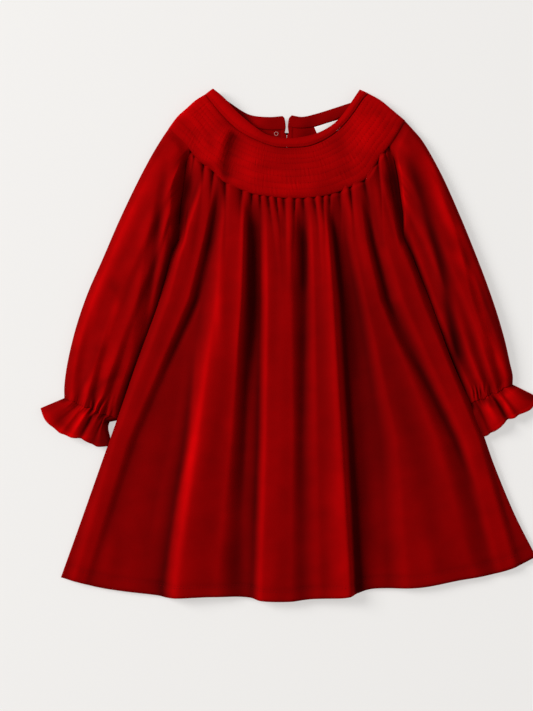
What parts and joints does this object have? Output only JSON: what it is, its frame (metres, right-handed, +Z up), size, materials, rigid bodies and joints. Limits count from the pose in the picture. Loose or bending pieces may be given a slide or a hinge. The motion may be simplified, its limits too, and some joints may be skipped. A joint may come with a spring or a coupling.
{
  "type": "toddler party dress",
  "caption": "Red velvet long-sleeved toddler party dress laid flat, with a tucked round yoke, a gathered skirt and ruffled wrists",
  "frame": {"origin": "on the surface the dress lies on, under the middle of its outline", "axes": "+X to the dress's right side as seen from above, +Y towards the neck, +Z up off the surface"},
  "size_m": [0.547, 0.5652, 0.0215],
  "materials": {
    "velvet": "soft red velvet with a short nap and a pale sheen at grazing angles",
    "label": "plain white woven tape",
    "button": "small glossy red button"
  },
  "bodies": {
    "root": {"front_yoke": "velvet", "front_skirt": "velvet", "neckband_front": "velvet", "sleeve_left": "velvet", "wrist_ruffle_left": "velvet", "back_yoke_left": "velvet", "neckband_back_left": "velvet", "sleeve_right": "velvet", "wrist_ruffle_right": "velvet", "back_yoke_right": "velvet", "neckband_back_right": "velvet", "back_skirt": "velvet", "back_button": "button", "button_loop": "velvet", "neck_label": "label"}
  },
  "joints": []
}
